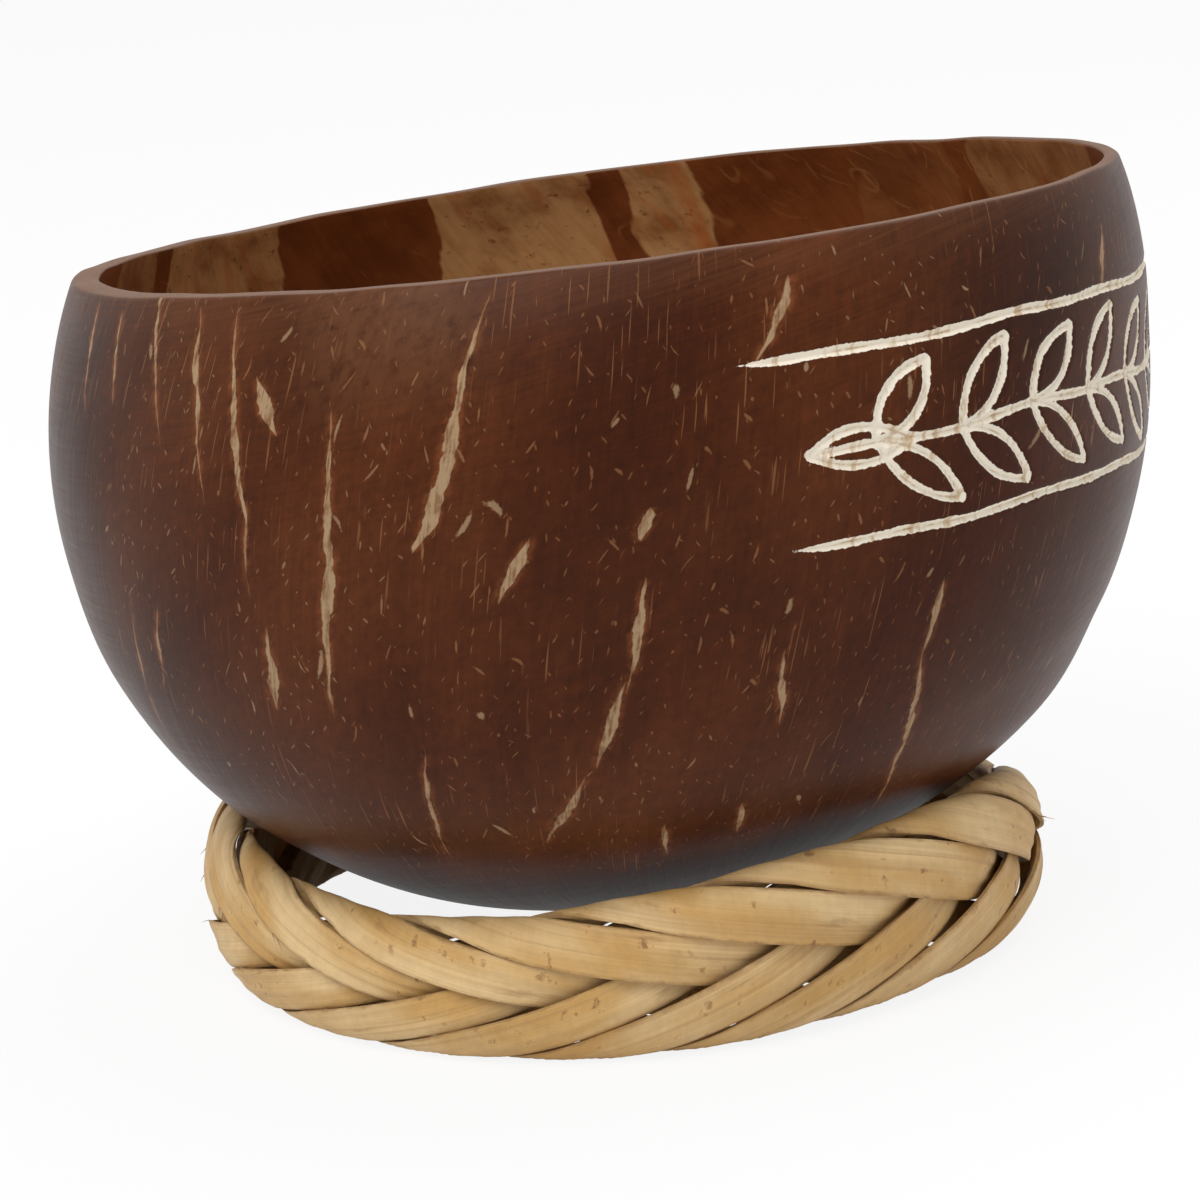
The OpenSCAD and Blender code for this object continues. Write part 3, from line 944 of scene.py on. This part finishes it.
# %% Inside of the shell: colours, gloss and relief
TAN_SKIN, TAN_DEEP = shade(182, 136, 86), shade(140, 90, 48)
BARE_WALL, BARE_DEEP = shade(118, 62, 26), shade(98, 48, 17)
STAIN = shade(166, 86, 30)
LINING_ROUGH, LINING_GLINT = 0.48, 0.2
LINING_RELIEF, LINING_RELIEF_DEEP = 0.4, 0.25 * MM

blotch = noise_at(tree, round_map, scale=0.13, detail=4.0, roughness=0.6)
specks = noise_at(tree, round_map, scale=0.9, detail=3.0, roughness=0.6)
rusty = noise_at(tree, round_map, scale=0.5, detail=3.0, stretch=(1, 1, 0.2)).ramp(0.52, 0.7)
tan = colour_mix(tree, blotch.ramp(0.38, 0.66), TAN_SKIN, TAN_DEEP)
tan = colour_mix(tree, specks.ramp(0.6, 0.72) * 0.75, tan, BARE_WALL)
tan = colour_mix(tree, rusty * 0.4, tan, STAIN)

bare = colour_mix(tree, blotch.ramp(0.35, 0.65), BARE_WALL, BARE_DEEP)
crossing = noise_at(tree, round_map, scale=0.09, stretch=(1, 1, 0.7)) - 0.5
scratch = crossing.op("ABSOLUTE").ramp(0.012, 0.003) * noise_at(tree, round_map, scale=0.16).ramp(0.5, 0.66)
nicks = use_group(tree, flecks, Flat=flat, Cell=3.0, Share=0.6, Long=1.9, Thin=0.13)
scratch = scratch.op("MAXIMUM", out(nicks) * back.ramp(18.0, 40.0))
bare = colour_mix(tree, scratch * 0.6, bare, TAN_DEEP)

lining = colour_mix(tree, patch, bare, tan)
run_down = bearing.ramp(14.6, 15.6) * bearing.ramp(17.2, 16.4) * above
stain = run_down * 0.45 + blotch.ramp(0.64, 0.72) * patch * 0.35
lining = colour_mix(tree, stain, lining, STAIN)
upright = noise_at(tree, round_map, scale=1.4, detail=3.0, stretch=(1, 1, 0.08))
feed(tree, shader.inputs["Base Color"], toned(tree, lining, upright * 0.5 + 0.75))
feed(tree, shader.inputs["Roughness"], patch * 0.22 + upright * 0.1 + LINING_ROUGH)
shader.inputs["Specular IOR Level"].default_value = LINING_GLINT
relief = add_node(tree, "Bump", Strength=LINING_RELIEF, Distance=LINING_RELIEF_DEEP,
                  Height=patch * 0.5 + specks * 0.4 + upright * 0.3)
feed(tree, shader.inputs["Normal"], out(relief))
shell.data.materials.append(inside)
count_nodes("the inside", tree)

# %% Sawn rim
RIM_DUST, RIM_DARK = shade(114, 82, 58), shade(80, 47, 28)
LINE_LONG, LINE_FINE = 0.12, 3.0
RIM_ROUGH, RIM_GLINT = 0.5, 0.25
RIM_RELIEF, RIM_RELIEF_DEEP = 0.4, 0.1 * MM

sawn, tree, shader = new_material("sawn_rim")
place = use_group(tree, shell_place, Place=out(add_node(tree, "TexCoord"), "Object"))
turn, girth, round_map = (out(place, name) for name in ("Turn", "Girth", "Round"))
saw_lines = noise_at(tree, vector_of(tree, turn * LINE_LONG, girth * LINE_FINE, 0.0), scale=1.0, detail=3.0)
patches = noise_at(tree, round_map, scale=0.16, detail=3.0)
pores = noise_at(tree, round_map, scale=2.4).ramp(0.6, 0.72)
sawn_face = colour_mix(tree, saw_lines * 0.6 + patches * 0.5, RIM_DARK, RIM_DUST)
feed(tree, shader.inputs["Base Color"], colour_mix(tree, pores * 0.5, sawn_face, RIM_DARK))
feed(tree, shader.inputs["Roughness"], saw_lines * 0.2 + RIM_ROUGH)
shader.inputs["Specular IOR Level"].default_value = RIM_GLINT
relief = add_node(tree, "Bump", Strength=RIM_RELIEF, Distance=RIM_RELIEF_DEEP, Height=saw_lines - pores * 0.5)
feed(tree, shader.inputs["Normal"], out(relief))
shell.data.materials.append(sawn)
print("shell finishes:", [m.name for m in shell.data.materials])

# %% [markdown]
# ## The plait
#
# Seven strips run over and under each other in a flat plait that closes on itself. In the section of the ring
# all of them follow one track, a lying figure of eight, so they can never meet. The formulas repeat those of
# the CAD model with finer steps, and add what a dried leaf has: lengthwise ribs and uneven edges.

# %% Sizes of the plait
RING_R, RING_SHIFT = 43.998, -1.2
PLAIT_HALF, PLAIT_CROWN = 8.2, 1.8
DIP_SHARE, DIP_ANGLE, SWELL_SHARE, SWELL_ANGLE = 0.17, -122.0, 0.14, -56.0
RING_FLARE, STRETCH_POWER = 3.0, 6
STRANDS, FOLDS = 7, 17
LAYER_GAP, FILL_SHARE, STRIP_T, EDGE_T = 1.7, 0.933, 1.3, 0.45
PLAIT_ANGLE, SPLICE_ANGLE, STEP_ANGLE = 2.0, 150.0, 12.0
SOFT_RATIO, SHARP_RATIO, FOLLOW_RATIO, TAPER_POWER, NUDGE = 0.7, 0.97, 0.3, 2.5, 0.02
TAIL_ANGLE, RISE_ANGLE, TAIL_GAP, PRESS = 24.0, 22.0, 0.3, 0.36
HALF_TURN = 180.0
START_PHASE = HALF_TURN - 4.5 * STEP_ANGLE
FILL_HALF = FILL_SHARE * HALF_TURN / STRANDS
PHASE_RATE = FOLDS / STRANDS
PLAIT_MID = PLAIT_HALF + STRIP_T / 2 - PRESS
print("a fold on each edge every", round(2 * HALF_TURN / FOLDS, 1), "degrees of the ring")

# %% Path of a strip round the ring
# The ring has settled unevenly: it is wider at the left, in front and at its right end. That end is taller, it is
# low behind it, and the front right lifts off the floor a little.
WIDER = [(0.6, -146.0), (1.0, -84.0), (0.9, -20.0), (0.4, 162.0)]
RIGHT_LOWER, RIGHT_ANGLE, END_TALLER, END_TALL_ANGLE = 0.3, 18.0, 0.11, -24.0
LIFTED, LIFTED_ANGLE, LIFTED_UP = 0.8, -48.0, 14.0


def cos_of(angle):
    """Cosine of an angle in degrees."""
    return np.cos(np.radians(angle))


def middle_line(p, s):
    """Height and layer of a strip's middle in the section of the plait."""
    height = PLAIT_HALF * np.arcsin(SHARP_RATIO * cos_of(p + FILL_HALF * s)) / math.asin(SHARP_RATIO)
    follow = FOLLOW_RATIO + (1 - FOLLOW_RATIO) * cos_of(p) ** 2
    wave = np.sin(2 * np.radians(p + follow * FILL_HALF * s))
    layer = LAYER_GAP * wave * math.sqrt(1 + SOFT_RATIO**2) / np.sqrt(wave**2 + SOFT_RATIO**2)
    return np.stack([height, layer], -1)


def near(angle, at):
    """1 at an angle round the ring, and less away from it."""
    return np.maximum(0, cos_of(angle - at)) ** STRETCH_POWER


def on_ring(p, section):
    """From the section of the plait to the ring, in millimetres."""
    a = SPLICE_ANGLE + PLAIT_ANGLE + (p - START_PHASE) / PHASE_RATE
    height, layer = section[..., 0], section[..., 1]
    lean_out = RING_FLARE * near(a, SWELL_ANGLE) * np.maximum(0, height / PLAIT_HALF)
    r = RING_R + layer - PLAIT_CROWN * (height / PLAIT_HALF) ** 2 + lean_out
    for wider, angle in WIDER:
        r = r + wider * near(a, angle)
    tall = 1 - DIP_SHARE * near(a, DIP_ANGLE) + SWELL_SHARE * near(a, SWELL_ANGLE)
    z = np.maximum(0, (PLAIT_MID + height) * tall)
    z = z * (1 - RIGHT_LOWER * near(a, RIGHT_ANGLE) + END_TALLER * near(a, END_TALL_ANGLE))
    z = z + LIFTED * near(a, LIFTED_ANGLE) * smooth(1 - z / LIFTED_UP)
    return np.stack([RING_SHIFT + r * cos_of(a), r * np.sin(np.radians(a)), z], -1)


def from_phase(k):
    """Where strip k begins along the pattern."""
    return START_PHASE + HALF_TURN * math.floor(2 * FOLDS * k / STRANDS)


print("the strips begin at", [round(from_phase(k)) for k in range(STRANDS)], "degrees of the pattern")

# %% Skin of one strip
ALONG_STEP = 3.0
ACROSS = 14
LAP_FROM, LAP_WIDE, LAP_LIFT = 0.5, 0.22, 0.55
# Waves along a strip, by their size and their length in degrees of the pattern.
EDGE_UNEVEN, EDGE_LONG, EDGE_SHORT = 0.03, 23, 9.7
RIB_DEPTH, RIBS_ACROSS, RIB_FADE = 0.17, 8.5, 4
DRIFT_SLOW, DRIFT_LONG, DRIFT_QUICK, DRIFT_SHORT = 1.1, 61, 0.5, 17


def strip_skin(k):
    """Points of strip k, station by station and once round, and its length along the middle."""
    first, last = from_phase(k), from_phase(k + 1)
    stations = round((last + TAIL_ANGLE - first) / ALONG_STEP)
    p = np.linspace(first, last + TAIL_ANGLE, stations + 1)[:, None]
    lane = np.linspace(-1, 1, ACROSS + 1)
    s = np.concatenate([lane, lane[::-1], lane[:1]])[None, :]
    side = np.concatenate([np.ones(ACROSS + 1), -np.ones(ACROSS + 1), [1]])[None, :]
    long_wave, short_wave = np.sin(p / EDGE_LONG + k * 1.9), np.sin(p / EDGE_SHORT + k * 0.7 + 2 * np.sign(s))
    uneven = 0.5 + 0.25 * long_wave + 0.25 * short_wave
    outer = np.clip(middle_line(p, 0 * p)[..., 1] / LAYER_GAP, 0, 1)
    lap = outer * smooth((s - LAP_FROM) / (1 - LAP_FROM))
    s_here = s * (1 - EDGE_UNEVEN * uneven) + LAP_WIDE * lap
    thick = EDGE_T + (STRIP_T - EDGE_T) * (1 - np.abs(s) ** TAPER_POWER)
    slow, quick = DRIFT_SLOW * np.sin(p / DRIFT_LONG + k), DRIFT_QUICK * np.sin(p / DRIFT_SHORT)
    ribs = 0.5 + 0.5 * np.sin(RIBS_ACROSS * s + k * 2.3 + slow + quick)
    thick = thick * (1 - RIB_DEPTH * ribs * (1 - np.abs(s) ** RIB_FADE))
    middle = middle_line(p, s_here)
    slope = middle_line(p, s_here + NUDGE) - middle_line(p, s_here - NUDGE)
    slope /= np.linalg.norm(slope, axis=-1, keepdims=True)
    across = np.stack([-slope[..., 1], slope[..., 0]], -1)
    section = middle + (side * thick / 2)[..., None] * across
    section[..., 1] += LAP_LIFT * lap
    section[..., 1] -= (STRIP_T + TAIL_GAP) * smooth((p - last + RISE_ANGLE) / RISE_ANGLE)
    points = on_ring(p, section)
    spine = points[:, ACROSS // 2]
    return points * MM, np.linalg.norm(np.diff(spine, axis=0), axis=1).sum() * MM


def across_share(v):
    """Where a point lies across its strip, from -1 to 1, by its share of the way round the skin."""
    j = v * (2 * ACROSS + 2)
    return np.where(j <= ACROSS, 2 * j / ACROSS - 1, np.where(j < ACROSS + 1, 1, np.where(
        j <= 2 * ACROSS + 1, 1 - 2 * (j - ACROSS - 1) / ACROSS, -1)))


print("the first strip has", strip_skin(0)[0].shape[0], "stations of", 2 * ACROSS + 2, "points")

# %% [markdown]
# ## Modelling the strips
#
# A grid is rolled into the closed skin of a strip: one side of the grid runs along the leaf, the other once
# round it. The seam is merged, the two ends are filled, and the grid's own UV map is stretched to real
# lengths, so that the fibres in the finish follow the leaf round every fold.

# %% Roll a grid into each strip
HALF_WIDTH = 2.4 * MM
SEAM_MERGE = 0.001 * MM
LEAF_CREASE = 50
# Each strip starts elsewhere on the pattern of the finish.
LEAF_SHIFT = 1.7

strips = []
for k in range(STRANDS):
    points, length = strip_skin(k)
    rows, columns = points.shape[0] - 1, points.shape[1] - 1
    bpy.ops.object.select_all(action="DESELECT")
    bpy.ops.mesh.primitive_grid_add(x_subdivisions=rows, y_subdivisions=columns, size=1)
    strip = bpy.context.object
    strip.name = f"leaf_strip_{k + 1}"
    flat = coordinates(strip.data)
    i = np.rint((flat[:, 0] + 0.5) * rows).astype(int)
    j = np.rint((flat[:, 1] + 0.5) * columns).astype(int)
    strip.data.vertices.foreach_set("co", points[i, j].ravel())
    uv = strip.data.uv_layers.active.data
    shares = np.empty(len(uv) * 2)
    uv.foreach_get("uv", shares)
    shares = shares.reshape(-1, 2)
    shares[:, 0] = (shares[:, 0] + k * LEAF_SHIFT) * length
    shares[:, 1] = across_share(shares[:, 1]) * HALF_WIDTH
    uv.foreach_set("uv", shares.ravel())
    bpy.ops.object.mode_set(mode="EDIT")
    bpy.ops.mesh.select_all(action="SELECT")
    bpy.ops.mesh.remove_doubles(threshold=SEAM_MERGE)
    bpy.ops.mesh.fill_holes(sides=0)
    bpy.ops.mesh.normals_make_consistent(inside=False)
    bpy.ops.object.mode_set(mode="OBJECT")
    bpy.ops.object.shade_smooth_by_angle(angle=math.radians(LEAF_CREASE))
    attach(strip, "ring")
    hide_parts(f"strand_{k + 1}")
    strips.append(strip)
    print(strip.name, len(strip.data.polygons), "faces,", round(length / MM), "mm long")

# %% [markdown]
# ## Frayed fibres
#
# Dried leaf frays: here and there a hair-thin fibre has split off an edge and bends away from the ring. Each
# is a short curve with a round section, turned into a mesh and joined to its strip.

# %% Fibres that stand off the strips
FIBRES_PER_STRIP = 6
FIBRE_R, FIBRE_TAPER, FIBRE_BITS = 0.055 * MM, 0.7, 7
FIBRE_LENGTHS, FIBRE_BENDS, FIBRE_OUT = (1.2, 3.2), (-0.2, 0.4), 0.4
FIBRE_LAYER = 0.9
CLEAR_START, CLEAR_END = 10, 20
FIBRE_MERGE = 0.004 * MM


def add_fibre(bundle, root, heading, outward):
    """Adds one thinning fibre that leaves its strip at root and stays off the floor."""
    length = random.uniform(*FIBRE_LENGTHS) * MM
    bend = random.uniform(*FIBRE_BENDS)
    line = bundle.splines.new("POLY")
    line.points.add(FIBRE_BITS)
    for bit in range(FIBRE_BITS + 1):
        t = bit / FIBRE_BITS
        at = root + heading * length * t + outward * length * FIBRE_OUT * t + Vector((0, 0, bend * length * t * t))
        at.z = max(at.z, 2 * FIBRE_R)
        line.points[bit].co = (*at, 1)
        line.points[bit].radius = 1 - FIBRE_TAPER * t


random.seed(21)
for k, strip in enumerate(strips):
    points, _ = strip_skin(k)
    bundle = bpy.data.curves.new("fibres", "CURVE")
    bundle.dimensions = "3D"
    bundle.bevel_depth = FIBRE_R
    bundle.bevel_resolution = 1
    bundle.use_fill_caps = True
    rooted = set()
    while len(rooted) < FIBRES_PER_STRIP:
        i = random.randrange(CLEAR_START, points.shape[0] - CLEAR_END)
        edge = max((ACROSS, ACROSS + 1), key=lambda column: np.hypot(*points[i, column, :2]))
        layer = middle_line(np.array([from_phase(k) + i * ALONG_STEP]), 0.0)[0, 1]
        if layer < FIBRE_LAYER * LAYER_GAP or i in rooted:
            continue
        rooted.add(i)
        root = Vector(points[i, edge])
        outward = Vector((root.x - RING_SHIFT * MM, root.y, 0)).normalized()
        heading = (Vector(points[i + 2, edge]) - root).normalized() * random.choice((-1, 1))
        add_fibre(bundle, root, heading, outward)
    fibres = bpy.data.objects.new("fibres", bundle)
    scene.collection.objects.link(fibres)
    bpy.ops.object.select_all(action="DESELECT")
    fibres.select_set(True)
    bpy.context.view_layer.objects.active = fibres
    bpy.ops.object.convert(target="MESH")
    bpy.ops.object.mode_set(mode="EDIT")
    bpy.ops.mesh.select_all(action="SELECT")
    bpy.ops.mesh.remove_doubles(threshold=FIBRE_MERGE)
    bpy.ops.object.mode_set(mode="OBJECT")
    strip.select_set(True)
    bpy.context.view_layer.objects.active = strip
    bpy.ops.object.join()
print(STRANDS * FIBRES_PER_STRIP, "fibres")

# %% [markdown]
# ## Dried leaf
#
# The strips are straw-coloured, with fine fibres along their length, broad bands of gold and tan, small brown
# spots and darker, bruised edges. They are dull, with a faint sheen where the fibres are smooth.

# %% Dried leaf: patterns and colours
STRAW, GOLD, TAN = shade(216, 185, 135), shade(194, 152, 90), shade(180, 141, 92)
BROWN_SPOT, EDGE_BROWN = shade(138, 100, 62), shade(142, 106, 66)
FIBRE_TONE, WRINKLE_TONE, LEAF_MOTTLE = 0.4, 0.12, 0.35
VEINS_SHOW, SPOTS_SHOW, SMEARS_SHOW, EDGE_SHOWS = 0.6, 0.85, 0.4, 0.6

leaf, tree, shader = new_material("dried_leaf")
uv_map = out(add_node(tree, "UVMap"))
in_mm = stretched(tree, uv_map, (1 / MM, 1 / MM, 0))
across = out(add_node(tree, "SeparateXYZ", Vector=in_mm), "Y") / (HALF_WIDTH / MM)
leaf_fibres = noise_at(tree, in_mm, scale=1.0, detail=3.0, roughness=0.6, stretch=(0.03, 6.0, 1))
veins = noise_at(tree, in_mm, scale=1.0, stretch=(0.012, 1.5, 1))
broad = noise_at(tree, in_mm, scale=1.0, detail=3.0, stretch=(0.06, 0.16, 1))
wrinkles = noise_at(tree, in_mm, scale=1.0, stretch=(1.3, 0.25, 1))
mottle = noise_at(tree, in_mm, scale=0.55, detail=4.0, roughness=0.65)
smears = noise_at(tree, in_mm, scale=1.0, detail=4.0, roughness=0.6, stretch=(0.11, 0.5, 1)).ramp(0.58, 0.72)
spots = mottle.ramp(0.59, 0.69) * broad.ramp(0.38, 0.56)
bruised = (across.op("ABSOLUTE") + (mottle - 0.5) * 0.5).ramp(0.86, 1.02)

blade = colour_mix(tree, broad.ramp(0.34, 0.66), STRAW, GOLD)
blade = colour_mix(tree, veins.ramp(0.5, 0.72) * VEINS_SHOW, blade, TAN)
tone = (leaf_fibres - 0.5) * FIBRE_TONE + (wrinkles - 0.5) * WRINKLE_TONE + (mottle - 0.5) * LEAF_MOTTLE + 1.0
blade = toned(tree, blade, tone)
blade = colour_mix(tree, spots * SPOTS_SHOW, blade, BROWN_SPOT)
blade = colour_mix(tree, smears * SMEARS_SHOW, blade, BROWN_SPOT)
feed(tree, shader.inputs["Base Color"], colour_mix(tree, bruised * EDGE_SHOWS, blade, EDGE_BROWN))
count_nodes("dried leaf", tree)

# %% Dried leaf: sheen and relief
LEAF_ROUGH, LEAF_GLINT = 0.45, 0.3
LEAF_RELIEF, LEAF_RELIEF_DEEP = 0.5, 0.12 * MM

feed(tree, shader.inputs["Roughness"], leaf_fibres * 0.25 + LEAF_ROUGH)
shader.inputs["Specular IOR Level"].default_value = LEAF_GLINT
relief = add_node(tree, "Bump", Strength=LEAF_RELIEF, Distance=LEAF_RELIEF_DEEP,
                  Height=leaf_fibres * 0.5 + veins * 0.5 + wrinkles * 0.2 + mottle * 0.5 - spots * 0.2)
feed(tree, shader.inputs["Normal"], out(relief))
for strip in strips:
    strip.data.materials.append(leaf)
print("leaf on", len(strips), "strips")
